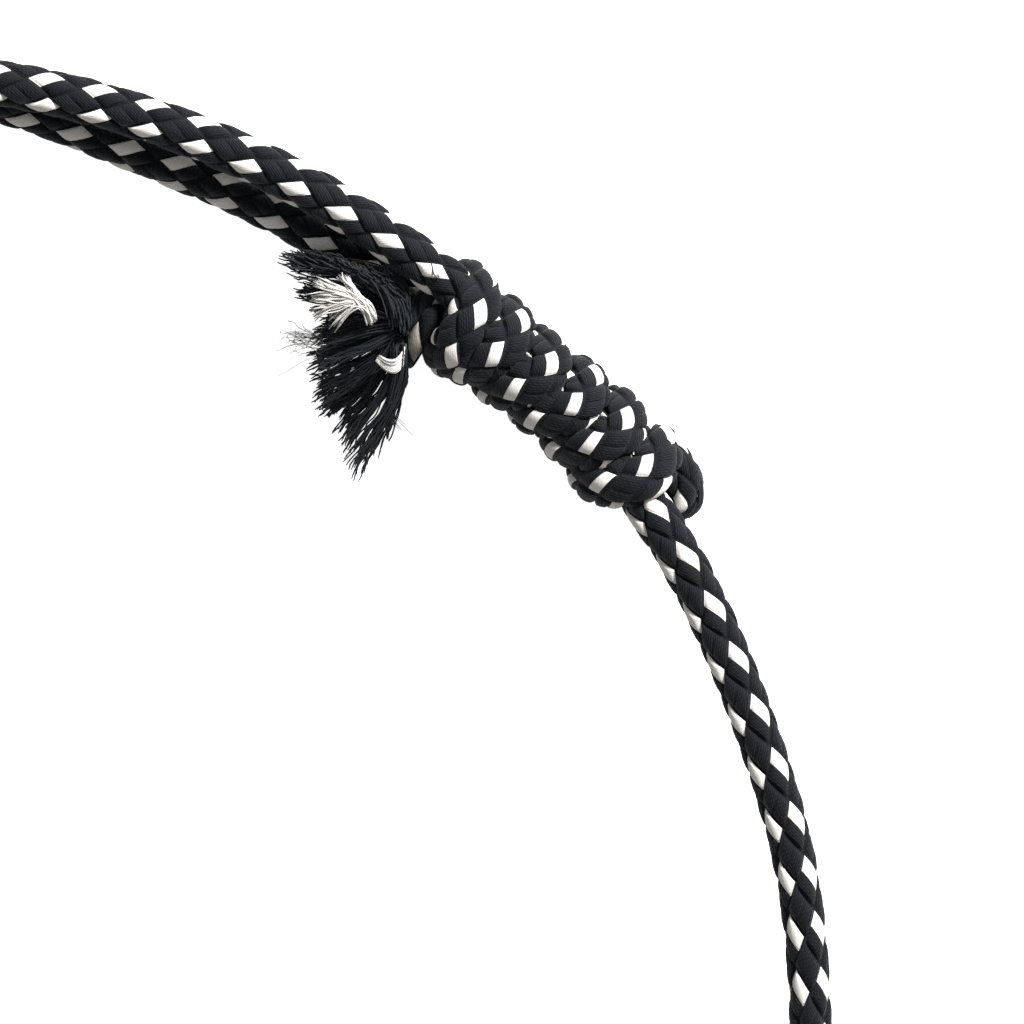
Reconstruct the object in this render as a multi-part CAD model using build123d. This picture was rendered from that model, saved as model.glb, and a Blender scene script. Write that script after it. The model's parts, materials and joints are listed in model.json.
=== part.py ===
from build123d import *
import os
from math import cos, radians, sin, sqrt

# A rope halter laid flat, seen as it lies: +Y towards the crown, +Z up from the surface.
# The crown is a half ring of doubled rope closed by two sliding barrel knots. Below it hang
# the cheeks, the throat latch, the noseband, the jaw ropes, the chin knot and the lead loop.
# All sizes are in millimetres.

# Rope
ROPE_R = 4.0             # the braided rope's radius
GAP = 0.4                # free space between a rope and what slides along it
POCKET = 0.2             # free space between a rope and the knot that it is tied into

# Crown
RING_R = 168.0           # radius of the crown at the rope that runs through the knots
RING_Y = 132.0           # the crown's centre, so that the origin is the middle of the halter
INNER_R = 162.4          # radius of the other rope of the pair
LOWER_Z = 7.0            # height of the rope of the left cheek
UPPER_Z = 15.4           # height of the rope of the right cheek, which lies on the other one
TURN_Z = (LOWER_Z + UPPER_Z) / 2
SWAP_FROM, SWAP_TO = 84.0, 112.0     # between these angles the two ropes change places

# Sliding knots on the crown, the right one given; the left one is the same knot turned over
KNOT_ANGLE = 42.15       # middle of the right knot
KNOT_HALF = 7.12         # angle from there to the middle of an end wrap
KNOT_R = TURN_Z          # radius of the wraps, which rest on the surface
WRAPS = 6
WRAP_TILT = -9.0         # lean of the wraps, which climb as a coil does
SLIDE = 4.0              # angle that a knot slides each way
CHEEK_TOP = KNOT_ANGLE - SLIDE - 0.3  # the cheek's rope ends here, inside the knot
COIL_AXIS_START, COIL_AXIS_END = 165.5, 168.0   # radius of the coil's middle at its two ends
BORE_MARGIN = 14.0       # angle that the bore is cut past the middle of the knot, each way

# The bight at the outer end of the coil, where the rope turns back to make the wraps
BIGHT_R = 3.8
BIGHT_Z = 5.5
BIGHT_TURN = 5.0         # radius of its turn
BIGHT_ANGLE = 33.6
BIGHT_CENTRE_R = 171.0

# The frayed end at the inner end of the coil
NECK_ANGLE, NECK_R = 52.1, 154.3     # the middle of its neck, about which it swings
NECK_RADIUS = 3.6
FRAY_LENGTH = 15.0
FRAY_WIDTH, FRAY_HEIGHT = 37.0, 12.0
FRAY_DIRECTION = 202.0   # the way it points

# Lower part of the halter
CHEEK_X = RING_R
CHEEK_Z = LOWER_Z
THROAT_Y = 80.0          # the throat knots
NOSE_Y = -100.0          # the nose knots
SIDE_KNOT_R = 10.0
SIDE_WRAPS = 4
WRAP_PITCH = 7.2
CHIN_Y = -203.0
CHIN_R = 13.0
CHIN_WRAPS = 5
CHIN_PITCH = 8.2

# Noseband: two ropes side by side, which pass over the throat ropes
NOSEBAND_Z = 13.0
NOSEBAND_END = CHEEK_X - SIDE_KNOT_R - 2.2
NOSEBAND_SAG = 33.0
NOSEBAND_HALF_SPACING = 4.2

# Lead loop
LOOP_Y = CHIN_Y - CHIN_WRAPS * CHIN_PITCH / 2 - ROPE_R - 1.0
LOOP_Z = CHIN_R
LOOP_X = 5.0
LOOP_HALF_WIDTH = 15.0
LOOP_END = -297.6


def ring(angle, radius=RING_R, z=UPPER_Z):
    """A point of the crown, by its angle from +X."""
    return Vector(radius * cos(radians(angle)), RING_Y + radius * sin(radians(angle)), z)


def clockwise(angle, slope=0.0):
    """The direction along the crown at an angle, clockwise, falling or rising by slope."""
    return Vector(sin(radians(angle)), -cos(radians(angle)), slope)


def tangent_edge(start, end, direction):
    """An arc from start to end that leaves along direction, or a line where it is straight."""
    if (end - start).cross(direction).length < 1e-6 * (end - start).length:
        return Line(start, end)
    return TangentArc(start, end, tangent=direction)


def two_arcs(start, start_way, end, end_way):
    """Two tangent arcs that leave start along start_way and reach end along end_way."""
    chord, ways = end - start, start_way + end_way
    spread = 1 - start_way.dot(end_way)
    along = chord.dot(ways)
    if spread < 1e-9:
        reach = chord.dot(chord) / (2 * along)
    else:
        reach = (sqrt(along**2 + 2 * spread * chord.dot(chord)) - along) / (2 * spread)
    corner_in, corner_out = start + start_way * reach, end - end_way * reach
    middle = (corner_in + corner_out) * 0.5
    middle_way = (corner_out - corner_in).normalized()
    return [tangent_edge(start, middle, start_way), tangent_edge(middle, end, middle_way)]


def route(stations):
    """The centreline through (point, direction) stations, as tangent arcs."""
    stations = [(point, way.normalized()) for point, way in stations]
    edges = []
    for (start, start_way), (end, end_way) in zip(stations, stations[1:]):
        edges += two_arcs(start, start_way, end, end_way)
    return Wire(edges)


def rope(stations, radius=ROPE_R):
    """A rope of round section along its stations."""
    path = route(stations)
    section = Plane(origin=stations[0][0], z_dir=stations[0][1]) * Circle(radius)
    return sweep(section, path=path)


def wraps(places, radius, width):
    """Round-edged wraps side by side, one for each (middle, axis), fused into one coil."""
    wrap = fillet(Cylinder(radius, width).edges(), width * 0.42)
    coil = None
    for middle, axis in places:
        turn = Plane(origin=middle, z_dir=axis) * wrap
        coil = turn if coil is None else coil + turn
    return coil


def turned_over(part):
    """The right side's piece as the left side has it, turned half round about a Y axis."""
    return part.rotate(Axis((0, 0, TURN_Z), (0, 1, 0)), 180)


def mirrored(part):
    return part.mirror(Plane.YZ)


def crown_rope():
    """The right cheek's rope over the poll, from inside the right knot to the left one."""
    last = 180 - KNOT_ANGLE - KNOT_HALF + 2.5
    angles = [(KNOT_ANGLE, RING_R), (SWAP_FROM, RING_R), (SWAP_TO, INNER_R), (last, INNER_R)]
    return rope([(ring(angle, radius), clockwise(angle) * -1) for angle, radius in angles])


def right_cheek():
    """From inside the right knot down to the nose knot, sinking from the upper height."""
    return rope([
        (ring(CHEEK_TOP), clockwise(CHEEK_TOP)),
        (ring(23), clockwise(23)),
        (ring(9, z=12.2), clockwise(9, -0.11)),
        (Vector(CHEEK_X, THROAT_Y + 22, CHEEK_Z), Vector(0, -1, 0)),
        (Vector(CHEEK_X, NOSE_Y, CHEEK_Z), Vector(0, -1, 0)),
    ])


def left_cheek():
    return mirrored(rope([
        (ring(CHEEK_TOP, z=LOWER_Z), clockwise(CHEEK_TOP)),
        (ring(0, z=LOWER_Z), clockwise(0)),
        (Vector(CHEEK_X, NOSE_Y, CHEEK_Z), Vector(0, -1, 0)),
    ]))


def crown_coil(core_rope):
    """Wraps that follow the crown, with a bore for the rope that they slide along."""
    places = []
    for i in range(WRAPS):
        share = i / (WRAPS - 1)
        angle = KNOT_ANGLE + KNOT_HALF * (1 - 2 * share)
        middle_r = COIL_AXIS_START + (COIL_AXIS_END - COIL_AXIS_START) * share
        places.append((ring(angle, middle_r, TURN_Z), clockwise(angle + WRAP_TILT)))
    width = 2 * radians(KNOT_HALF) * RING_R / (WRAPS - 1) * 1.12
    start, end = KNOT_ANGLE + BORE_MARGIN, KNOT_ANGLE - BORE_MARGIN
    bore = rope([(ring(start), clockwise(start)), (ring(end), clockwise(end))], ROPE_R + GAP)
    inlet = rope([(ring(60, INNER_R, LOWER_Z), clockwise(60)),
                  (ring(core_rope, INNER_R, LOWER_Z), clockwise(core_rope))], ROPE_R + POCKET)
    return wraps(places, KNOT_R, width) - bore - inlet


def crown_bight(coil):
    """The rope's turn under the other rope, at the outer end of the coil."""
    way = clockwise(BIGHT_ANGLE)
    inner = ring(BIGHT_ANGLE, BIGHT_CENTRE_R - BIGHT_TURN, BIGHT_Z)
    outer = ring(BIGHT_ANGLE, BIGHT_CENTRE_R + BIGHT_TURN, BIGHT_Z)
    tip = ring(BIGHT_ANGLE, BIGHT_CENTRE_R, BIGHT_Z) + way * BIGHT_TURN
    outward = (outer - inner).normalized()
    stations = [(inner - way * 6, way), (inner, way), (tip, outward),
                (outer, way * -1), (outer - way * 4, way * -1)]
    pieces = (rope(stations, BIGHT_R) - coil).solids()
    return max(pieces, key=lambda piece: piece.volume)


def tassel():
    """The frayed end: it opens from a round neck beside the coil into a flat fan of yarns."""
    way = Vector(cos(radians(FRAY_DIRECTION)), sin(radians(FRAY_DIRECTION)), 0)
    neck = ring(NECK_ANGLE, NECK_R, TURN_Z)
    tip = neck + way * FRAY_LENGTH
    tip = Vector(tip.X, tip.Y, FRAY_HEIGHT / 2 + 1)
    neck_plane = Plane(origin=neck, x_dir=Vector(0, 0, 1), z_dir=way)
    tip_plane = Plane(origin=tip, x_dir=Vector(0, 0, 1), z_dir=way)
    end = tip_plane * Ellipse(FRAY_HEIGHT / 2, FRAY_WIDTH / 2)
    return loft([neck_plane * Ellipse(NECK_RADIUS, NECK_RADIUS + 0.4), end])


def straight_knot(middle, radius, count, pitch, *through):
    """A knot of side-by-side wraps along Y, hollowed for the ropes that go through it."""
    places = [(middle + Vector(0, (i - (count - 1) / 2) * pitch, 0), Vector(0, 1, 0))
              for i in range(count)]
    knot = wraps(places, radius, pitch * 1.12)
    for stations in through:
        knot = knot - rope(stations, ROPE_R + POCKET)
    return knot


def side_knot(y):
    """A knot on the right cheek at a height y, around the cheek's rope."""
    middle = Vector(CHEEK_X, y, SIDE_KNOT_R)
    reach = Vector(0, 30, 0)
    core = Vector(CHEEK_X, y, CHEEK_Z)
    return straight_knot(middle, SIDE_KNOT_R, SIDE_WRAPS, WRAP_PITCH,
                         [(core + reach, Vector(0, -1, 0)), (core - reach, Vector(0, -1, 0))])


def throat_stations():
    return [
        (Vector(160.5, THROAT_Y - 15, 12.5), Vector(-0.40, -0.91, -0.06)),
        (Vector(64, -110, 4.1), Vector(-0.59, -0.81, 0)),
        (Vector(40, -142, 4.6), Vector(-0.61, -0.79, 0.06)),
        (Vector(5.2, CHIN_Y + 14, 11.5), Vector(-0.42, -0.90, 0.14)),
    ]


def jaw_stations():
    return [
        (Vector(166, NOSE_Y - 15.2, 7.0), Vector(-0.08, -0.99, -0.05)),
        (Vector(100, -186, 4.2), Vector(-0.89, -0.45, 0)),
        (Vector(8, CHIN_Y - 4, 11.0), Vector(-0.98, -0.05, 0.12)),
    ]


def outside(part, knot):
    """The part of a rope that is outside a knot."""
    return max((part - knot).solids(), key=lambda piece: piece.volume)


def noseband_rope(offset):
    """One arc from knot to knot, whose radius is offset from the pair's own arc."""
    pair_r = (NOSEBAND_END**2 + NOSEBAND_SAG**2) / (2 * NOSEBAND_SAG)
    centre_y = NOSE_Y - NOSEBAND_SAG + pair_r
    drop = sqrt((pair_r + offset)**2 - NOSEBAND_END**2)
    start = Vector(NOSEBAND_END, centre_y - drop, NOSEBAND_Z)
    start_way = Vector(-drop, -NOSEBAND_END, 0)
    end, end_way = Vector(-start.X, start.Y, start.Z), Vector(start_way.X, -start_way.Y, 0)
    return rope([(start, start_way), (end, end_way)])


def lead_loop():
    """A long loop with a rounded end at each leg, about which it lifts."""
    right = [(Vector(LOOP_X, LOOP_Y, LOOP_Z), Vector(0.2, -0.97, -0.1)),
             (Vector(LOOP_HALF_WIDTH, -272, 5.6), Vector(0, -1, -0.07)),
             (Vector(0, LOOP_END, 4.2), Vector(-1, 0, 0))]
    left = [(Vector(-point.X, point.Y, point.Z), Vector(way.X, -way.Y, -way.Z))
            for point, way in reversed(right[:-1])]
    loop = rope(right + left)
    for side in (-1, 1):
        loop = loop + Pos(side * LOOP_X, LOOP_Y, LOOP_Z) * Sphere(ROPE_R)
    return loop


def pieces():
    """Every piece of the halter, by name."""
    inlet_end = KNOT_ANGLE + KNOT_HALF - 2.8
    coil = crown_coil(inlet_end)
    bight = crown_bight(coil)
    chin = straight_knot(Vector(0, CHIN_Y, CHIN_R), CHIN_R, CHIN_WRAPS, CHIN_PITCH)
    throat_rope = outside(rope(throat_stations()), chin)
    jaw_rope = outside(rope(jaw_stations()), chin)
    poll_rope = crown_rope()
    fray = tassel()
    throat_knot, nose_knot = side_knot(THROAT_Y), side_knot(NOSE_Y)
    return {
        "right_cheek_rope": right_cheek(),
        "left_cheek_rope": left_cheek(),
        "right_crown_rope": poll_rope,
        "left_crown_rope": turned_over(poll_rope),
        "right_crown_coil": coil,
        "left_crown_coil": turned_over(coil),
        "right_crown_bight": bight,
        "left_crown_bight": turned_over(bight),
        "right_frayed_end": fray,
        "left_frayed_end": mirrored(fray),
        "right_throat_knot": throat_knot,
        "left_throat_knot": mirrored(throat_knot),
        "right_throat_rope": throat_rope,
        "left_throat_rope": mirrored(throat_rope),
        "right_nose_knot": nose_knot,
        "left_nose_knot": mirrored(nose_knot),
        "upper_nose_rope": noseband_rope(-NOSEBAND_HALF_SPACING),
        "lower_nose_rope": noseband_rope(NOSEBAND_HALF_SPACING),
        "right_jaw_rope": jaw_rope,
        "left_jaw_rope": mirrored(jaw_rope),
        "chin_knot": chin,
        "lead_loop": lead_loop(),
    }


os.makedirs("parts", exist_ok=True)
for name, piece in pieces().items():
    export_step(piece, f"parts/{name}.step")
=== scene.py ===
import json
import math
import bpy
import numpy as np
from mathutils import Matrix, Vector


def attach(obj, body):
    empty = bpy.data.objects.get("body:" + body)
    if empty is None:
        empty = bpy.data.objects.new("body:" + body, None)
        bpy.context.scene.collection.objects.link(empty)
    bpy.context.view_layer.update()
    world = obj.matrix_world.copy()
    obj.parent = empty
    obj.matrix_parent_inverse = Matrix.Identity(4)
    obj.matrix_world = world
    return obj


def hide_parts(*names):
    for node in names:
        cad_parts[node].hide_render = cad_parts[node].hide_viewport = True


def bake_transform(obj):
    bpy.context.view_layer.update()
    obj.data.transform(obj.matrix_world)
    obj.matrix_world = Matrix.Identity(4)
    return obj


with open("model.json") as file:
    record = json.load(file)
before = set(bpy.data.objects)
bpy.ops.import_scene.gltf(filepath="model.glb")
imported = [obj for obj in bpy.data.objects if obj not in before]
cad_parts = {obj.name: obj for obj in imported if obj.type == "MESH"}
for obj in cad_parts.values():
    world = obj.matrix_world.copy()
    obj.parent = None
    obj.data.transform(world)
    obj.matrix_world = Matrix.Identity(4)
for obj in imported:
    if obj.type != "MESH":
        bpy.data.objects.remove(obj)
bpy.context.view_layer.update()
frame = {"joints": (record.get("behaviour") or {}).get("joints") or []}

# Lengths are in millimetres up to the mesh, which is in metres, in the CAD model's own frame.
MM = 0.001

# Rope: eight carriers, four each way round, each laying two flat ends side by side
BRAID_R = 3.95                   # to the outside of the braid where nothing squeezes it
PITCH = 38.3                     # length in which a carrier goes once round
CARRIERS = 4                     # carriers each way
CELL = PITCH / (2 * CARRIERS)    # flecks of one row are two cells apart
END_WIDTH, END_LENGTH = 2.6, 5.7
RELIEF = 0.85                    # depth of the creases between the crossings
OVERHANG = 0.07                  # share of a crossing that its neighbours cover at each end
FLECK_SHIFT = 0.25               # cells from a white end's middle to its crossing's corner
FLECK_TURN = 33.75               # degrees round the rope from that corner to the middle
FINE = (0, .03, .07, .11, .25, .4, .47, .5, .53, .6, .75, .89, .93, .97, 1)
COARSE = (0, .07, .2, .43, .5, .57, .8, .93, 1)

# Crown, placed by the joint that slides its right knot
JOINTS = {joint["name"]: joint for joint in frame["joints"]}
RING_X, RING_Y, TURN_Z = (value / MM for value in JOINTS["right_knot_slide"]["pos_m"])
RING_R = 168.0
PAIR_RISE = 4.2                       # half the height from one rope of the pair to the other
LOWER_Z, UPPER_Z = TURN_Z - PAIR_RISE, TURN_Z + PAIR_RISE
OUTER_R, PAIR_STEP = 168.4, 6.0       # the outer rope's radius, and how far in the inner one is
SWAP_FROM, SWAP_SPAN = 88, 24         # where a crown rope moves from outside to inside
KNOT_ANGLE = 42.15                    # the right coil's middle
KNOT_RIGHT, KNOT_LEFT = 33.6, 50.8    # where the right coil begins and ends
FRONT_ANGLE = 35.3                    # the first wrap's middle, on top
WRAP_ANGLE = 2.82                     # from one wrap to the next
WRAPS = 6
WRAP_STEPS = 48                       # points on each wrap
FLECKS_PER_WRAP = 6.39

# Lower part, read from the joints that lift the noseband and the lead loop
CHEEK_X = RING_R
NOSE_Y, NOSEBAND_Z = (value / MM for value in JOINTS["noseband_lift"]["pos_m"][1:])
LOOP_Y, LOOP_Z = (value / MM for value in JOINTS["lead_loop_lift"]["pos_m"][1:])
THROAT_Y = 80.0
CHIN_Y = -203.0
CHEEK_END_Y = NOSE_Y - 4
DOWNWARD = (0, -1, 0)                 # along the cheeks, from the crown to the nose


# ---------------------------------------------------------------- curves

def ring(angle, radius=RING_R, z=UPPER_Z):
    """A point of the crown, by its angle from +X."""
    turn = math.radians(angle)
    return (RING_X + radius * math.cos(turn), RING_Y + radius * math.sin(turn), z)


def clockwise(angle, slope=0.0):
    """The direction in which the crown is followed from the left knot to the right one."""
    turn = math.radians(angle)
    return (math.sin(turn), -math.cos(turn), slope)


def unit(vectors):
    return vectors / np.linalg.norm(vectors, axis=-1, keepdims=True)


def smooth(value):
    """A step from 0 to 1 that starts and ends level."""
    value = np.clip(value, 0, 1)
    return value * value * (3 - 2 * value)


def bezier(start, one, two, end, count):
    t = np.linspace(0, 1, count)[:, None]
    return ((1 - t) ** 3 * start + 3 * t * (1 - t) ** 2 * one
            + 3 * t * t * (1 - t) * two + t ** 3 * end)


def route(stations):
    """Points along a smooth line through (point, direction) stations, close to tangent arcs."""
    step = 0.6
    points = [np.array([stations[0][0]], float)]
    for (start, start_way), (end, end_way) in zip(stations, stations[1:]):
        start, end = np.array(start, float), np.array(end, float)
        start_way, end_way = unit(np.array(start_way, float)), unit(np.array(end_way, float))
        chord = np.linalg.norm(end - start)
        along = (end - start) / chord
        near = math.acos(np.clip(along @ start_way, -1, 1))
        far = math.acos(np.clip(along @ end_way, -1, 1))
        one = start + start_way * chord / (3 * math.cos(near / 2) ** 2)
        two = end - end_way * chord / (3 * math.cos(far / 2) ** 2)
        points.append(bezier(start, one, two, end, max(5, int(chord / step)))[1:])
    return np.concatenate(points)


def spline(controls, step=0.5):
    """Points along a smooth line through every control point."""
    controls = np.array(controls, float)
    ends = (2 * controls[:1] - controls[1:2], 2 * controls[-1:] - controls[-2:-1])
    padded = np.concatenate([ends[0], controls, ends[1]])
    points = [controls[:1]]
    for a, b, c, d in zip(padded, padded[1:], padded[2:], padded[3:]):
        count = max(3, int(np.linalg.norm(c - b) / step))
        points.append(bezier(b, b + (c - a) / 6, c - (d - b) / 6, c, count)[1:])
    return np.concatenate(points)


def lengths_along(points):
    return np.r_[0, np.cumsum(np.linalg.norm(np.diff(points, axis=0), axis=1))]


def carried_normals(points):
    """Normals along a line, carried on from straight up without twist."""
    normals = np.empty_like(points)
    normal = np.array([0.0, 0.0, 1.0])
    for i, tangent in enumerate(unit(np.gradient(points, axis=0))):
        normal = normal - tangent * (normal @ tangent)
        normal /= np.linalg.norm(normal)
        normals[i] = normal
    return normals


def lay(points, fleck_at=0.0, turn=0.0, twist=0.0, radius=BRAID_R, normals=None, cells=None,
        flat=1.0, white=(0.0, 0.5)):
    """A line with what the braid on it needs at each point.

    A row of white flecks lies at turn degrees from the normal at length fleck_at, where one
    fleck is, and the rows turn by twist degrees each millimetre. cells counts the crossings.
    The rope is flat times as wide across the normal as along it. white is the part, from and
    to, of a white crossing's width that shows white.
    """
    lengths = lengths_along(points)
    normals = carried_normals(points) if normals is None else unit(normals)
    tangents = unit(np.gradient(points, axis=0))
    return {
        "points": points,
        "normals": normals,
        "binormals": unit(np.cross(tangents, normals)),
        "cells": (lengths - fleck_at) / CELL if cells is None else cells,
        "turn": np.radians(turn + twist * (lengths - fleck_at)),
        "radius": np.broadcast_to(radius, lengths.shape),
        "flat": flat,
        "white": white,
    }


# ---------------------------------------------------------------- materials

def material(name, build):
    made = bpy.data.materials.new(name)
    made.use_nodes = True
    tree = made.node_tree
    tree.nodes.clear()
    output = tree.nodes.new("ShaderNodeOutputMaterial")
    shader = tree.nodes.new("ShaderNodeBsdfPrincipled")
    tree.links.new(shader.outputs["BSDF"], output.inputs["Surface"])
    build(tree, shader)
    return made


def math_node(tree, operation, first, second):
    """The socket of a sum or product. first and second are numbers or sockets."""
    node = tree.nodes.new("ShaderNodeMath")
    node.operation = operation
    for socket, value in zip(node.inputs, (first, second)):
        if isinstance(value, (int, float)):
            socket.default_value = value
        else:
            tree.links.new(value, socket)
    return node.outputs[0]


def stretched_uv(tree, across, along, turn=0.0):
    """The piece's own coordinates, in mm across and along each end, scaled and turned."""
    uv = tree.nodes.new("ShaderNodeUVMap")
    uv.uv_map = "yarn"
    stretch = tree.nodes.new("ShaderNodeMapping")
    stretch.inputs["Scale"].default_value = (across, along, 1)
    stretch.inputs["Rotation"].default_value = (0, 0, math.radians(turn))
    tree.links.new(uv.outputs["UV"], stretch.inputs["Vector"])
    return stretch.outputs["Vector"]


def bands(tree, vector, period, distortion):
    """Waves of height across the vector's X, about period apart."""
    wave = tree.nodes.new("ShaderNodeTexWave")
    wave.inputs["Scale"].default_value = 0.314 / period
    wave.inputs["Distortion"].default_value = distortion
    wave.inputs["Detail"].default_value = 2.0
    wave.inputs["Detail Scale"].default_value = 1.5
    tree.links.new(vector, wave.inputs["Vector"])
    return wave.outputs["Fac"]


def noise(tree, vector):
    texture = tree.nodes.new("ShaderNodeTexNoise")
    texture.inputs["Scale"].default_value = 1.0
    texture.inputs["Detail"].default_value = 4.0
    texture.inputs["Roughness"].default_value = 0.6
    tree.links.new(vector, texture.inputs["Vector"])
    return texture.outputs["Fac"]


def yarn_height(tree, yarn, ply):
    """Ridges of yarn side by side, each with the slanting plies that it is twisted from."""
    yarns = bands(tree, stretched_uv(tree, 1, 1), yarn, 2.4)
    plies = bands(tree, stretched_uv(tree, 1, 1, 34), ply, 4.0)
    fibres = noise(tree, stretched_uv(tree, 7, 2.6))
    twisted = math_node(tree, "MULTIPLY", yarns, math_node(tree, "ADD", plies, 0.5))
    return math_node(tree, "ADD", math_node(tree, "MULTIPLY", twisted, 0.42),
                     math_node(tree, "MULTIPLY", fibres, 0.62))


def yarn_finish(tree, shader, dark, light, yarn, ply, bump):
    """Colour and bump of laid yarn, from dark in the gaps to light on the ridges. The dark gaps are
    painted shade between the yarns; the fibres' noise adds their own random tone.
    """
    height = yarn_height(tree, yarn, ply)
    # the ramp paints shade into the gaps between yarns and lightens the ridges, over the fibres' own
    # random tone
    ramp = tree.nodes.new("ShaderNodeValToRGB")
    for element, place, colour in zip(ramp.color_ramp.elements, (0.2, 0.85), (dark, light)):
        element.position, element.color = place, (*colour, 1)
    tree.links.new(height, ramp.inputs["Fac"])
    tree.links.new(ramp.outputs["Color"], shader.inputs["Base Color"])
    raised = tree.nodes.new("ShaderNodeBump")
    raised.inputs["Strength"].default_value = bump
    raised.inputs["Distance"].default_value = 0.00015
    tree.links.new(height, raised.inputs["Height"])
    tree.links.new(raised.outputs["Normal"], shader.inputs["Normal"])


def black_braid(tree, shader):
    yarn_finish(tree, shader, (0.001, 0.0012, 0.0018), (0.0105, 0.0128, 0.0178), 0.4, 0.55, 1.0)
    shader.inputs["Roughness"].default_value = 0.75
    shader.inputs["Specular IOR Level"].default_value = 0.14
    shader.inputs["Sheen Weight"].default_value = 0.05
    shader.inputs["Sheen Roughness"].default_value = 0.5


def light_braid(dark, light):
    """The look of pale flecks, from dark in the gaps, which is painted shade, to light on the ridges.
    """
    def build(tree, shader):
        yarn_finish(tree, shader, dark, light, 0.36, 0.6, 0.35)
        shader.inputs["Roughness"].default_value = 0.7
        shader.inputs["Specular IOR Level"].default_value = 0.2
    return build


def loose_finish(dark, light, roughness):
    """The look of loose yarns and hairs, which are finer than the braid's."""
    def build(tree, shader):
        yarn_finish(tree, shader, dark, light, 0.2, 0.3, 0.8)
        shader.inputs["Roughness"].default_value = roughness
        shader.inputs["Specular IOR Level"].default_value = 0.25
    return build


BLACK = material("black_braid", black_braid)
WHITE = material("white_braid", light_braid((0.76, 0.71, 0.65), (0.89, 0.86, 0.81)))
# Darker flecks for the tail: white painted grey-beige as painted shade, since the tail lies in the
# wraps' shadow
PAINTED_SHADE_WHITE = material("painted_shade_white_braid", light_braid((0.2, 0.17, 0.15), (0.34, 0.31, 0.28)))
LOOSE_BLACK = material("loose_black_yarn", loose_finish((.009, .011, .014), (.032, .039, .048), .65))
LOOSE_WHITE = material("loose_white_yarn", loose_finish((.72, .68, .62), (.9, .88, .85), .7))
GREY_HAIR = material("grey_hair", loose_finish((.3, .29, .28), (.5, .49, .47), .7))


# ---------------------------------------------------------------- meshes

def mesh_object(name, points, faces, uvs, tints, materials):
    """A mesh in metres from points in mm. uvs has one pair for each corner of each face."""
    sizes = np.array([len(face) for face in faces])
    corners = np.concatenate(faces)
    mesh = bpy.data.meshes.new(name)
    mesh.vertices.add(len(points))
    mesh.vertices.foreach_set("co", (points * MM).astype(np.float32).ravel())
    mesh.loops.add(len(corners))
    mesh.loops.foreach_set("vertex_index", corners.astype(np.int32))
    mesh.polygons.add(len(sizes))
    mesh.polygons.foreach_set("loop_start", np.r_[0, np.cumsum(sizes)[:-1]].astype(np.int32))
    mesh.polygons.foreach_set("material_index", np.asarray(tints).astype(np.int32))
    mesh.polygons.foreach_set("use_smooth", np.ones(len(sizes), bool))
    mesh.update(calc_edges=True)
    mesh.uv_layers.new(name="yarn").data.foreach_set("uv", uvs.astype(np.float32).ravel())
    for finish in materials:
        mesh.materials.append(finish)
    mesh.validate()
    piece = bpy.data.objects.new(name, mesh)
    bpy.context.scene.collection.objects.link(piece)
    return piece


def dive(along):
    """The height of a pair of ends along a crossing, from the crease where it comes out."""
    t = np.clip((along - OVERHANG) / (1 - 2 * OVERHANG), 0, 1)
    end = np.abs(2 * t - 1)
    return np.sqrt(1 - end ** 5) * (1 - 0.3 * end ** 2)


def pillow(across, along):
    """The height, 0 to 1, of a crossing: two rounded ends side by side that dive at both ends.

    Past OVERHANG from either end it is the side of the crossing that covers it there.
    """
    border = 0.35
    half = np.abs(2 * np.mod(2 * across, 1.0) - 1)
    inner = np.abs(across - 0.5) < 0.25
    foot = np.where(inner, 0.6, border)
    side = foot + (1 - foot) * np.sqrt(np.clip(1 - half ** 2.6, 0, 1))
    edge = np.minimum(along, 1 - along)
    covered = border * dive(across) * (1 - edge / OVERHANG)
    return np.where(edge < OVERHANG - 1e-6, covered, side * dive(along))


def shared_points(row, lane, i, j, steps):
    """Corners of neighbouring crossings that are in one place become one point.

    This gives where each point is met first, and the number of the point at each corner.
    """
    around = lane * steps + i
    forward = around - (lane - row) * steps - j
    lift = 10 ** 6                    # keeps the keys positive
    key = (forward + lift) * CARRIERS * steps + around % (CARRIERS * steps)
    _, first, index = np.unique(key.ravel(), return_index=True, return_inverse=True)
    return first, index.reshape(key.shape)


def wound(path, p, q, height):
    """Points on the path's rope. p and q count the carriers of each way, and height is 0 to 1."""
    cells = path["cells"]
    station = np.interp(p - q + FLECK_SHIFT, cells, np.arange(len(cells)))
    at = np.clip(station.astype(int), 0, len(cells) - 2)
    share = (station - at)[:, None]
    place, normal, binormal = (path[part][at] * (1 - share) + path[part][at + 1] * share
                               for part in ("points", "normals", "binormals"))
    angle = ((p + q) * math.pi / CARRIERS - math.radians(FLECK_TURN) + path["turn"][at])[:, None]
    reach = (path["radius"][at] - RELIEF * (1 - height))[:, None]
    return place + reach * (np.cos(angle) * unit(normal)
                            + path["flat"] * np.sin(angle) * unit(binormal))


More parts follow.
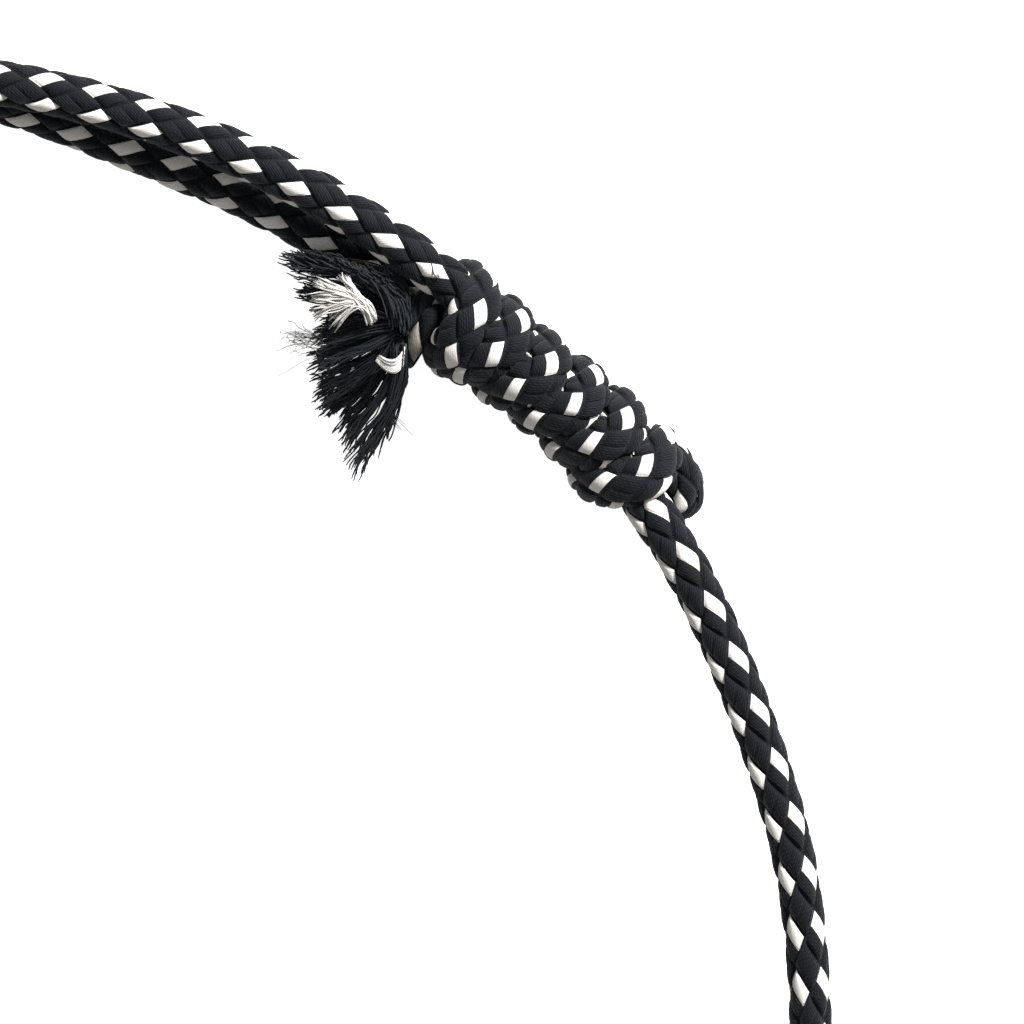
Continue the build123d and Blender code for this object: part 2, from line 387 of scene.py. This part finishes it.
def braid(name, path, samples=FINE, span=None, light=WHITE):
    """The braided surface on a laid line. light is the material of its flecks.

    samples are the mesh lines across and along a crossing, and span the first and last cell.
    """
    low, high = span if span else (path["cells"][0] + 1, path["cells"][-1] - 1)
    rows = np.arange(math.ceil(low), math.floor(high) + 1)
    row, lane = (grid.reshape(-1, 1)
                 for grid in np.meshgrid(rows, np.arange(CARRIERS), indexing="ij"))
    samples = np.array(samples, float)
    steps = len(samples) - 1
    lines = np.arange(steps + 1)
    i, j = (grid.reshape(1, -1) for grid in np.meshgrid(lines, lines, indexing="ij"))
    p, q = lane + samples[i], lane - row + samples[j]
    left_handed = row % 2 == 0
    across = np.where(left_handed, samples[i], samples[j])
    along = np.where(left_handed, samples[j], samples[i])
    first, index = shared_points(row, lane, i, j, steps)
    points = wound(path, *(values.ravel()[first] for values in (p, q, pillow(across, along))))

    corner = (np.arange(steps)[:, None] * (steps + 1) + np.arange(steps)).ravel()
    quad = np.stack([corner, corner + 1, corner + steps + 2, corner + steps + 1], axis=1)
    across, along = across[:, quad], along[:, quad]
    shift = np.random.default_rng(7 + len(name)).uniform(0, 60, (len(row), 1, 1))
    uvs = np.stack([across * 2 * END_WIDTH + shift, along * END_LENGTH + 3 * shift], axis=-1)
    from_across, to_across = path["white"]
    middle_across, middle_along = across.mean(axis=2), along.mean(axis=2)
    white = (left_handed & (middle_across > from_across) & (middle_across < to_across)
             & (np.abs(middle_along - 0.5) < 0.5 - OVERHANG))
    return capped(name, points, index[:, quad].reshape(-1, 4), uvs.reshape(-1, 4, 2), white.ravel(),
                  (BLACK, light))


def capped(name, points, faces, uvs, tints, materials):
    """A braided tube whose two ends are closed with a fan of triangles each."""
    edges = np.concatenate([faces[:, [i, (i + 1) % 4]] for i in range(4)])
    codes = edges[:, 0] * len(points) + edges[:, 1]
    rim = edges[~np.isin(edges[:, 1] * len(points) + edges[:, 0], codes)]
    faces, uvs, tints = list(faces), [uvs.reshape(-1, 2)], list(tints)
    following = dict(rim.tolist())
    while following:
        step, loop = next(iter(following)), []
        while step in following:
            loop.append(step)
            step = following.pop(step)
        points = np.vstack([points, points[loop].mean(axis=0)])
        for here, there in zip(loop, loop[1:] + loop[:1]):
            faces.append(np.array([there, here, len(points) - 1]))
            tints.append(False)
        uvs.append(np.zeros((3 * len(loop), 2)))
    return mesh_object(name, points, faces, np.concatenate(uvs), tints, materials)


def strands(name, curves, radius, finish, sides=5):
    """Thin round strands along curves, an array of strands by points by 3, each closed."""
    curves = np.asarray(curves, float)
    count, length, _ = curves.shape
    tangents = unit(np.gradient(curves, axis=1))
    up = np.where(np.abs(tangents[..., 2:]) < 0.9, (0.0, 0.0, 1.0), (1.0, 0.0, 0.0))
    right = unit(np.cross(tangents, up))
    over = np.cross(right, tangents)
    angle = np.arange(sides) * 2 * math.pi / sides
    taper = np.r_[np.ones(length - 1), 0.6]
    reach = radius * taper[:, None, None]
    points = curves[:, :, None] + reach * (np.cos(angle)[:, None] * right[:, :, None]
                                           + np.sin(angle)[:, None] * over[:, :, None])
    number = np.arange(count * length * sides).reshape(count, length, sides)
    following = np.roll(number, -1, axis=2)
    walls = np.stack([number[:, :-1], following[:, :-1], following[:, 1:], number[:, 1:]], axis=-1)
    faces = list(walls.reshape(-1, 4)) + list(number[:, 0, ::-1]) + list(number[:, -1])
    offsets = np.random.default_rng(3).uniform(0, 9, (count, 1, 1, 1))
    travel = np.cumsum(np.linalg.norm(np.diff(curves, axis=1, prepend=curves[:, :1]), axis=2), axis=1)
    u = np.broadcast_to(np.arange(sides) * 0.3, (count, length, sides))
    v = np.broadcast_to(travel[:, :, None], (count, length, sides))
    uv = np.stack([u, v], axis=-1) + offsets
    uvs = uv.reshape(-1, 2)[np.concatenate(faces)]
    return mesh_object(name, points.reshape(-1, 3), faces, uvs, np.zeros(len(faces)), (finish,))


def placed(piece, body, *nodes, slot="rope"):
    """The piece moves with the body and takes the place of the CAD model's nodes."""
    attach(piece, body)
    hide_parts(*nodes)


def changed_copy(piece, name, signs, shift_z=0.0):
    """A copy whose points are multiplied by signs, and then raised."""
    mesh = piece.data.copy()
    points = np.empty(len(mesh.vertices) * 3, np.float32)
    mesh.vertices.foreach_get("co", points)
    points = points.reshape(-1, 3) * np.array(signs, np.float32)
    points[:, 2] += shift_z
    mesh.vertices.foreach_set("co", points.ravel())
    if np.prod(signs) < 0:
        mesh.flip_normals()
    mesh.update()
    copy = bpy.data.objects.new(name, mesh)
    bpy.context.scene.collection.objects.link(copy)
    return copy


def turned_over(piece, name):
    """A copy turned half round about the crown's Y axis, as the left knot has it."""
    return changed_copy(piece, name, (-1, 1, -1), 2 * TURN_Z * MM)


def mirrored(piece, name):
    return changed_copy(piece, name, (-1, 1, 1))


# ---------------------------------------------------------------- crown ropes and cheeks

def free(angle):
    """1 where a crown rope is free and 0 inside the right knot, which squeezes it."""
    inside = smooth((angle - KNOT_RIGHT - 0.3) / 2.5) * smooth((KNOT_LEFT + 0.8 - angle) / 6)
    return 1 - inside


def squeezed(loose):
    """The share of a rope's radius that is left where it is as loose as this."""
    return 0.66 + 0.34 * loose


def crown_line(turned):
    """The rope over the poll, clockwise: points, angles and radii. It goes into both knots.

    It is the outer and upper one of the pair at the right knot. Turned, it is the other one.
    """
    angles = np.arange(180 - KNOT_ANGLE - 4, KNOT_ANGLE - 1.0, -0.25)
    if turned:
        angles = 180 - angles[::-1]
    own = 180 - angles if turned else angles
    swap = smooth((own - SWAP_FROM) / SWAP_SPAN)
    radius = OUTER_R - PAIR_STEP * swap
    loose = free(angles) * free(180 - angles)
    rise = PAIR_RISE * (1 - 0.7 * (1 - loose))
    z = TURN_Z - rise if turned else TURN_Z + rise
    points = np.array([ring(a, r - 1.5 * (1 - f), h) for a, r, f, h in zip(angles, radius, loose, z)])
    return points, angles, 4.1 * squeezed(loose)


def laid_crown(turned, fleck_angle, turn, twist, tight):
    """A crown rope with a fleck at an angle of the ring. Its crossings are tight times as long."""
    points, angles, radius = crown_line(turned)
    lengths = lengths_along(points)
    fleck_at = np.interp(-fleck_angle, -angles, lengths)
    cells = (lengths - fleck_at) / (CELL * tight)
    return lay(points, fleck_at, turn, twist, radius, cells=cells)


def make_crown_ropes():
    """The right rope moves with the left knot, and the left rope with the right knot."""
    path = laid_crown(False, fleck_angle=52.6, turn=2, twist=-0.62, tight=0.976)
    outer = braid("right_crown_braid", path)
    placed(outer, "left_crown_knot", "right_crown_rope")
    path = laid_crown(True, fleck_angle=62.5, turn=40, twist=-2.0, tight=0.985)
    inner = braid("left_crown_braid", path)
    placed(inner, "right_crown_knot", "left_crown_rope")


def make_right_cheek():
    """It comes down from the upper height to the lower one, a little thinner below the knot."""
    start = 39
    line = route([(ring(start, 166.4, 12.6), clockwise(start)),
                  (ring(36, 167.3, 14.4), clockwise(36)),
                  (ring(31.5, 167.7), clockwise(31.5)), (ring(20, 167.3), clockwise(20)),
                  (ring(9, z=12.2), clockwise(9, -0.11)),
                  ((CHEEK_X, 102, LOWER_Z), DOWNWARD), ((CHEEK_X, CHEEK_END_Y, LOWER_Z), DOWNWARD)])
    lengths = lengths_along(line)
    angle = start - np.degrees(lengths / RING_R)
    radius = squeezed(free(angle)) * (4.15 - 0.35 * np.clip((32 - angle) / 28, 0, 1))
    fleck_at = math.radians(start - 29.75) * RING_R
    cells = (lengths - fleck_at) / (CELL * 1.02)
    piece = braid("right_cheek_braid", lay(line, fleck_at, -24, -0.42, radius, cells=cells))
    placed(piece, "root", "right_cheek_rope")


def make_left_cheek():
    """It stays at the lower height, and begins deep enough in its coil for the coil to slide."""
    start = 180 - 41
    anticlockwise = [-value for value in clockwise(start)]
    line = route([(ring(start, z=LOWER_Z), anticlockwise), (ring(180, z=LOWER_Z), DOWNWARD),
                  ((-CHEEK_X, CHEEK_END_Y, LOWER_Z), DOWNWARD)])
    piece = braid("left_cheek_braid", lay(line, fleck_at=9, turn=-20, twist=0.4, radius=3.9))
    placed(piece, "root", "left_cheek_rope")


# ---------------------------------------------------------------- sliding knots

def wrap_angle(t, share):
    """Where the wraps lie round the ring, in degrees, after t turns.

    They bow over the front. The last one lies back over its neighbour as it tucks in, and on
    the side towards the ring's middle the inner wraps slant more than the outer ones.
    """
    turn = 2 * math.pi * t
    bow = (1.02 - 0.745 * np.sin(turn) + 0.305 * np.cos(turn)
           + 0.28 * np.cos(2 * turn) - 0.2 * np.sin(2 * turn))
    tuck = 2.2 * smooth((t - (WRAPS - 0.95)) / 0.7)
    phase = np.mod(t, 1.0)
    inner_side = smooth((phase - 0.22) / 0.24) * smooth((0.95 - phase) / 0.35)
    slant = 0.9 * np.clip(share, 0, 1) ** 3 * inner_side
    return FRONT_ANGLE + WRAP_ANGLE * (t - 0.25) + bow - tuck - slant


def coil_line():
    """The rope of the right knot's wraps, from the outer end: points, outward normals, turns."""
    t = np.arange(-0.02, WRAPS - 0.12, 1 / WRAP_STEPS)
    turn = 2 * math.pi * t
    share = (t - 0.25) / (WRAPS - 1)
    angle = wrap_angle(t, share)
    tucked = smooth((t - (WRAPS - 0.5)) / 0.4)
    middle_r = 168.6 - 3.7 * smooth((angle - 36) / 13)
    waist = 5.0 + 1.3 * np.abs(2 * share - 1) ** 1.6 - 3.0 * tucked
    depth = 7.2 - 3.0 * tucked
    middle = np.array([ring(a, r, TURN_Z) for a, r in zip(angle, middle_r)])
    lean = np.radians(angle)
    out = np.stack([np.cos(lean), np.sin(lean), np.zeros_like(lean)], axis=1)
    up = np.array([0.0, 0.0, 1.0])
    normals = np.cos(turn)[:, None] * out + np.sin(turn)[:, None] * up
    points = (middle + (waist * np.cos(turn))[:, None] * out + (depth * np.sin(turn))[:, None] * up)
    return points, normals, t


def make_coil():
    """The coils of both knots. The points of the right one's rope are handed on to its bight."""
    points, normals, t = coil_line()
    first_fleck = 0.042
    cells = (t - first_fleck) * FLECKS_PER_WRAP * 2
    path = lay(points, turn=20 - 38 * t / WRAPS, normals=normals, cells=cells, flat=1.17,
               white=(0.07, 0.47))
    coil = braid("right_coil_braid", path, span=(cells[0], cells[-1] - 0.5))
    placed(coil, "right_crown_knot", "right_crown_coil", slot="knot")
    placed(turned_over(coil, "left_coil_braid"), "left_crown_knot", "left_crown_coil", slot="knot")
    return points


def make_bight(coil_points):
    """The rope's turn under the cheek's rope, which goes on into the first wrap."""
    line = spline([ring(39.0, 165.5, 7.5), ring(36.5, 166.0, 6.0), ring(34.2, 168.0, 5.0),
                   ring(33.0, 171.2, 5.0), ring(33.1, 173.9, 6.0), ring(34.3, 175.4, 8.3),
                   coil_points[0], coil_points[6], coil_points[10]])
    bight = braid("right_bight_braid", lay(line, fleck_at=3, turn=20, radius=3.85))
    placed(bight, "right_crown_knot", "right_crown_bight")
    placed(turned_over(bight, "left_bight_braid"), "left_crown_knot", "left_crown_bight")


def make_tail():
    """The rope's end where it comes out at the inner end of the coil, over the inner rope."""
    line = spline([ring(47.5, 168.5, 12.0), ring(50.3, 167.5, 12.6), ring(51.3, 163.8, 12.4),
                   ring(51.0, 160.2, 11.8), ring(50.5, 157.2, 10.0), ring(50.1, 155.4, 7.0),
                   ring(50.9, 156.5, 4.2)])
    path = lay(line, fleck_at=19.5, turn=10, radius=3.7)
    # the tail's flecks take the darker white, which is painted shade
    tail = braid("right_tail_braid", path, light=PAINTED_SHADE_WHITE)
    placed(tail, "right_crown_knot", "right_crown_coil", slot="knot")
    placed(turned_over(tail, "left_tail_braid"), "left_crown_knot", "left_crown_coil", slot="knot")


# ---------------------------------------------------------------- frayed ends

# By its yarns' direction in degrees: how far the fan reaches, and which way they leave its throat
FAN_ANGLES = (140, 146, 156, 168, 182, 196, 210, 226, 236, 244, 252, 258, 263, 270)
FAN_REACH = (20, 25, 20, 14.5, 14.0, 15.5, 17.5, 20.5, 18.5, 22.5, 27.0, 26.0, 21.0, 13.0)
FAN_LEAVES = (112, 122, 138, 150, 166, 188, 214, 246, 262, 264, 266, 269, 272, 276)

# The same for the tufts that sweep up from it over the inner crown rope
SWEEP_ANGLES = (98, 112, 122, 134, 141, 149)
SWEEP_REACH = (8.5, 11.5, 13.5, 18.0, 22.5, 25.0)

THROAT = ring(52.15, 156.4, 10.5)
FLOOR_GAP = 0.4                       # the least height of a yarn
YARN_R, HAIR_R = 0.15, 0.045
YARN_POINTS, HAIR_POINTS = 18, 14
TUFTS, TUFT_YARNS = 48, 13
SWEEP_TUFTS, SWEEP_YARNS = 22, 14
WHITE_YARNS, FOLDED_YARNS = 120, 50
GREY_HAIRS, FAINT_HAIRS = 44, 8

# Where the white bundle's tips lie, from the throat
WHITE_TIPS = ((-14.1, 8.1), (-9.3, 9.5), (-14.3, 5.4), (-13.9, 2.5), (-11.2, 0.8), (-12.0, 7.0))


def crinkled(rng, curve, size):
    """A yarn kinked where it was braided, more so towards its free end."""
    along = np.linspace(0, 1, len(curve))
    for length, share in ((2.6, 1.0), (1.1, 0.5)):
        phase = rng.uniform(0, 2 * math.pi, 3)
        waves = np.sin(2 * math.pi * along[:, None] * length + phase) * rng.normal(0, 1, 3)
        curve = curve + size * share * along[:, None] * waves
    curve[:, 2] = np.maximum(curve[:, 2], FLOOR_GAP)
    return curve


def fan_curve(rng, angle, reach, start, lift, leave):
    """One yarn of the fan: it leaves the throat at one angle and bends towards its own."""
    out, leave = math.radians(angle), math.radians(leave)
    throat = np.array(THROAT) + start
    tip = np.array(THROAT) + (reach * math.cos(out), reach * math.sin(out), lift)
    one = throat + 0.46 * reach * np.array((math.cos(leave), math.sin(leave), 0.0))
    two = throat + (tip - throat) * 0.75 + rng.normal(0, 0.5, 3)
    return crinkled(rng, bezier(throat, one, two, tip, YARN_POINTS), 0.26)


def black_fan(rng):
    """The fan in tufts, and the tufts that sweep from it over the inner crown rope."""
    curves = []
    spread = np.linspace(FAN_ANGLES[0], FAN_ANGLES[-1], TUFTS) + rng.normal(0, 1.5, TUFTS)
    for angle in spread:
        reach = np.interp(angle, FAN_ANGLES, FAN_REACH) * rng.uniform(0.88, 1.04)
        level = rng.uniform(-1, 1)
        leave = np.interp(angle, FAN_ANGLES, FAN_LEAVES) + rng.normal(0, 6)
        droop = -7.0 + 6.5 * level * math.exp(-((angle - 190) / 60) ** 2)
        root = np.array([rng.uniform(-0.4, 1.6), 0.05 * (200 - angle), 2.2 * level])
        for _ in range(TUFT_YARNS):
            start = root + rng.normal(0, 0.45, 3)
            curves.append(fan_curve(rng, angle + rng.normal(0, 1.3), reach * rng.uniform(0.86, 1.03),
                                    start, droop + rng.normal(0, 0.4), leave + rng.normal(0, 3)))
    for angle in np.linspace(SWEEP_ANGLES[0], SWEEP_ANGLES[-1], SWEEP_TUFTS):
        reach = np.interp(angle, SWEEP_ANGLES, SWEEP_REACH) * rng.uniform(0.95, 1.02)
        root = np.array([rng.uniform(-1, 2.0), rng.uniform(-1, 4.5), rng.uniform(1.5, 4.2)])
        leave = rng.uniform(66, 100)
        lift = np.interp(angle, (130, 145), (4.2, 1.5))
        for _ in range(SWEEP_YARNS):
            curves.append(fan_curve(rng, angle + rng.normal(0, 1.4), reach * rng.uniform(0.85, 1.02),
                                    root + rng.normal(0, 0.5, 3), lift + rng.normal(0, 0.5),
                                    leave + rng.normal(0, 3)))
    return curves


def white_fan(rng):
    """The white yarns: a bundle that rises over the black ones, and a fold at the throat."""
    curves = []
    throat = np.array(THROAT)
    for _ in range(WHITE_YARNS):
        tip = throat + (*WHITE_TIPS[rng.integers(len(WHITE_TIPS))], 2.8)
        tip = tip + rng.normal(0, (0.65, 0.45, 0.5))
        start = throat + (-4.5, 1.8, 3.4) + rng.normal(0, (0.35, 0.4, 0.3))
        crest = throat + (-7.4, 5.7, 5.6) + rng.normal(0, (0.6, 0.5, 0.5))
        curve = bezier(start, start + (-0.3, 2.8, 1.4), crest, tip, YARN_POINTS)
        curves.append(crinkled(rng, curve, 0.2))
    for _ in range(FOLDED_YARNS):
        side = rng.uniform(-1, 1)
        start = throat + (1.9, -3.0 + 1.3 * side, 1.2 + 0.5 * side)
        fold = throat + (0.4, -7.6 + 1.3 * side, 4.0 + rng.normal(0, 0.2))
        tip = throat + (-3.4 + 0.3 * side, -5.0 + 0.5 * side, 1.5)
        curves.append(bezier(start, fold, fold + (-1.6, 0.6, 0), tip, YARN_POINTS))
    return curves


def loose_hairs(rng):
    """Fine grey hairs to the left of the fan, one long one there, and a few faint ones below."""
    curves = []
    throat = np.array(THROAT)
    for _ in range(GREY_HAIRS):
        start = throat + (-13.0, -1.8 + rng.normal(0, 0.9), -2)
        tip = throat + (-18.0, -1.5, -3) + rng.normal(0, (1.3, 1.5, 0.5))
        one, two = start + rng.normal(0, 0.8, 3), tip + rng.normal(0, 0.8, 3)
        curves.append(crinkled(rng, bezier(start, one, two, tip, HAIR_POINTS), 0.25))
    start, tip = throat + (-13, -5, -3), throat + (-20.9, -8.2, -4)
    curves.append(bezier(start, start + (-3, 0.6, 0), tip + (3, 1.2, 0), tip, HAIR_POINTS))
    for _ in range(FAINT_HAIRS):
        start = throat + (rng.uniform(-2, 0), -12, -4)
        tip = throat + (rng.uniform(-2, 3.5), rng.uniform(-20, -16), -5)
        curves.append(bezier(start, start + (0, -2, 0), tip + (-1, 1, 0), tip, HAIR_POINTS))
    for curve in curves:
        curve[:, 2] = np.maximum(curve[:, 2], FLOOR_GAP)
    return curves


def make_frayed_ends():
    """The right knot's frayed end, and the same one mirrored at the left knot."""
    rng = np.random.default_rng(52)
    fan = strands("right_fray_black", black_fan(rng), YARN_R, LOOSE_BLACK)
    white = strands("right_fray_white", white_fan(rng), YARN_R, LOOSE_WHITE)
    hairs = strands("right_fray_hairs", loose_hairs(rng), HAIR_R, GREY_HAIR, sides=3)
    for piece in (fan, white, hairs):
        other = mirrored(piece, piece.name.replace("right", "left"))
        placed(piece, "right_tail", "right_frayed_end", slot="fray")
        placed(other, "left_tail", "left_frayed_end", slot="fray")


def make_loose_strands():
    """A frayed strand that stands out of the bight, and a broken yarn on the crown's rope."""
    rng = np.random.default_rng(8)
    strand_yarns = 16
    hook = spline([ring(33.4, 170.0, 5.2), ring(32.1, 172.8, 5.6), ring(32.2, 175.3, 6.6),
                   ring(33.0, 177.2, 7.8), ring(33.8, 178.1, 8.8)], 0.4)
    taper = np.linspace(1.0, 0.25, len(hook))[None, :, None]
    spread = rng.normal(0, 0.6, (strand_yarns, 1, 3)) * taper
    piece = strands("right_bight_strand", hook[None] + spread, 0.36, LOOSE_BLACK, sides=6)
    placed(piece, "right_crown_knot", "right_crown_bight")
    placed(turned_over(piece, "left_bight_strand"), "left_crown_knot", "left_crown_bight")
    yarn = spline([ring(52.9, 169.2, 19.3), ring(52.4, 167.9, 19.7), ring(52.0, 167.7, 19.9),
                   ring(52.2, 168.3, 19.6)], 0.2)[None]
    placed(strands("crown_broken_yarn", yarn, 0.11, LOOSE_BLACK), "left_crown_knot",
           "right_crown_rope")


# ---------------------------------------------------------------- lower knots and ropes

def wrapped_knot(name, node, middle, amplitude, count, pitch, radius):
    """A knot of wraps along Y, with the rope's two ends tucked into it.

    amplitude is from the knot's middle line to the rope's, and pitch from wrap to wrap.
    """
    t = np.arange(-0.3, count - 0.7 + 0.001, 1 / WRAP_STEPS)
    turn = 2 * math.pi * t
    tuck_turns, tuck_depth = 0.3, 3.0
    tucked = smooth(-t / tuck_turns) + smooth((t - (count - 1)) / tuck_turns)
    reach = amplitude - tuck_depth * tucked
    normals = np.stack([np.cos(turn), np.zeros_like(t), np.sin(turn)], axis=1)
    half = (count - 1) / 2
    offset = np.clip((t - half) * pitch, -half * pitch, half * pitch)
    points = np.array(middle) + reach[:, None] * normals
    points[:, 1] += offset
    cells = t * 2 * math.pi * (amplitude + 3.2) / CELL
    piece = braid(name, lay(points, normals=normals, cells=cells, radius=radius), COARSE)
    placed(piece, "root", node, slot="knot")


def both_sides(name, node, stations, turn, twist):
    """A rope of the right side, and the same rope mirrored on the left."""
    right = braid("right_" + name, lay(route(stations), turn=turn, twist=twist), COARSE)
    placed(right, "root", "right_" + node)
    placed(mirrored(right, "left_" + name), "root", "left_" + node)


def make_lower_knots():
    for side, sign in (("right", 1), ("left", -1)):
        for place, y in (("throat", THROAT_Y), ("nose", NOSE_Y)):
            wrapped_knot(f"{side}_{place}_wraps", f"{side}_{place}_knot",
                         (sign * CHEEK_X, y, 10.0), 6.1, 4, 7.2, 3.85)
    wrapped_knot("chin_wraps", "chin_knot", (0, CHIN_Y, 13.0), 9.0, 5, 8.2, 4.1)
    core = route([((0, CHIN_Y + 17, 12.5), (0, -1, 0)), ((0, CHIN_Y - 19, 13.0), (0, -1, 0))])
    placed(braid("chin_core", lay(core, radius=6.2), COARSE), "root", "chin_knot", slot="knot")


def make_lower_ropes():
    both_sides("throat_braid", "throat_rope", [
        ((165.5, THROAT_Y - 5, 13.2), (-0.45, -0.89, -0.04)),
        ((160.5, THROAT_Y - 15, 12.5), (-0.40, -0.91, -0.06)),
        ((64, -110, 4.2), (-0.59, -0.81, 0)),
        ((40, -142, 4.6), (-0.61, -0.79, 0.06)),
        ((5.2, CHIN_Y + 14, 11.5), (-0.42, -0.90, 0.14))], turn=30, twist=0.3)
    both_sides("jaw_braid", "jaw_rope", [
        ((166.8, NOSE_Y - 8, 8.2), (-0.08, -0.99, -0.12)),
        ((166, NOSE_Y - 15.2, 7.0), (-0.08, -0.99, -0.05)),
        ((100, -186, 4.2), (-0.89, -0.45, 0)),
        ((8, CHIN_Y - 4, 11.0), (-0.98, -0.05, 0.12))], turn=-10, twist=0.2)


def make_noseband():
    """Two ropes side by side from knot to knot, over the throat ropes."""
    end_x, sag, half_step = 155.8, 33.0, 4.2
    pair_r = (end_x ** 2 + sag ** 2) / (2 * sag)
    centre_y = NOSE_Y - sag + pair_r
    widest = math.asin((end_x + 6.0) / pair_r)
    for name, node, offset, turn in (("upper_nose_braid", "upper_nose_rope", -half_step, 15),
                                     ("lower_nose_braid", "lower_nose_rope", half_step, -40)):
        bend = np.linspace(widest, -widest, 560)
        radius = pair_r + offset
        points = np.stack([radius * np.sin(bend), centre_y - radius * np.cos(bend),
                           np.full_like(bend, NOSEBAND_Z)], axis=1)
        piece = braid(name, lay(points, turn=turn, twist=0.15), COARSE)
        placed(piece, "noseband", node)


def make_lead_loop():
    """A long loop whose legs bend where they leave the chin knot."""
    right = [((5, LOOP_Y + 12, LOOP_Z), (0, -1, 0)), ((5, LOOP_Y, LOOP_Z), (0.2, -0.97, -0.1)),
             ((15, -272, 5.6), (0, -1, -0.07)), ((0, -297.6, 4.2), (-1, 0, 0))]
    left = [((-x, y, z), (dx, -dy, -dz)) for (x, y, z), (dx, dy, dz) in reversed(right[:-1])]
    piece = braid("lead_loop_braid", lay(route(right + left), turn=25, twist=0.2), COARSE)
    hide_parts("lead_loop")
    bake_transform(piece)


make_crown_ropes()
make_right_cheek()
make_left_cheek()
make_bight(make_coil())
make_tail()
make_frayed_ends()
make_loose_strands()
make_lower_knots()
make_lower_ropes()
make_noseband()
make_lead_loop()


# ---------------------------------------------------------------- stage

def make_camera():
    """Straight down on the right knot."""
    camera = bpy.data.objects.new("camera", bpy.data.cameras.new("camera"))
    bpy.context.scene.collection.objects.link(camera)
    height, view_width, sensor = 3.0, 0.1781, 36
    view_x, view_y = 116.0, 91.7
    camera.location = ((RING_X + view_x) * MM, (RING_Y + view_y) * MM, height)
    camera.data.sensor_width = sensor
    camera.data.lens = sensor * (height - TURN_Z * MM) / view_width
    camera.data.clip_end = 20
    camera.data.dof.use_dof = False
    bpy.context.scene.camera = camera


def floor_white(tree, shader):
    shader.inputs["Base Color"].default_value = (0.9, 0.9, 0.9, 1)
    shader.inputs["Roughness"].default_value = 1.0
    shader.inputs["Specular IOR Level"].default_value = 0.0
    shader.inputs["Emission Color"].default_value = (1, 1, 1, 1)
    shader.inputs["Emission Strength"].default_value = 0.9


def make_floor():
    """A white floor that glows by itself, so that no shadow shows on it, and lights nothing."""
    half = 3.0
    mesh = bpy.data.meshes.new("floor")
    mesh.from_pydata([(-half, -half, 0), (half, -half, 0), (half, half, 0), (-half, half, 0)], [],
                     [(0, 1, 2, 3)])
    mesh.materials.append(material("floor_white", floor_white))
    floor = bpy.data.objects.new("floor", mesh)
    floor.visible_diffuse = False
    bpy.context.scene.collection.objects.link(floor)


def area_light(name, place, target, size, power):
    light = bpy.data.lights.new(name, "AREA")
    light.shape, light.size, light.energy = "DISK", size, power
    lamp = bpy.data.objects.new(name, light)
    lamp.location = place
    aim = Vector(target) - Vector(place)
    lamp.rotation_euler = aim.to_track_quat("-Z", "Y").to_euler()
    bpy.context.scene.collection.objects.link(lamp)


def make_lights():
    """One key light and a faint even one, shown without a tone curve."""
    scene = bpy.context.scene
    scene.view_settings.view_transform = "Standard"
    scene.view_settings.look = "None"
    world = bpy.data.worlds.new("world")
    world.use_nodes = True
    background = world.node_tree.nodes["Background"]
    background.inputs["Color"].default_value = (1, 1, 1, 1)
    background.inputs["Strength"].default_value = 0.3
    scene.world = world
    area_light("key", (1.1, 1.4, 1.25), (0.1, 0.2, 0), 0.5, 92)


make_camera()
make_floor()
make_lights()
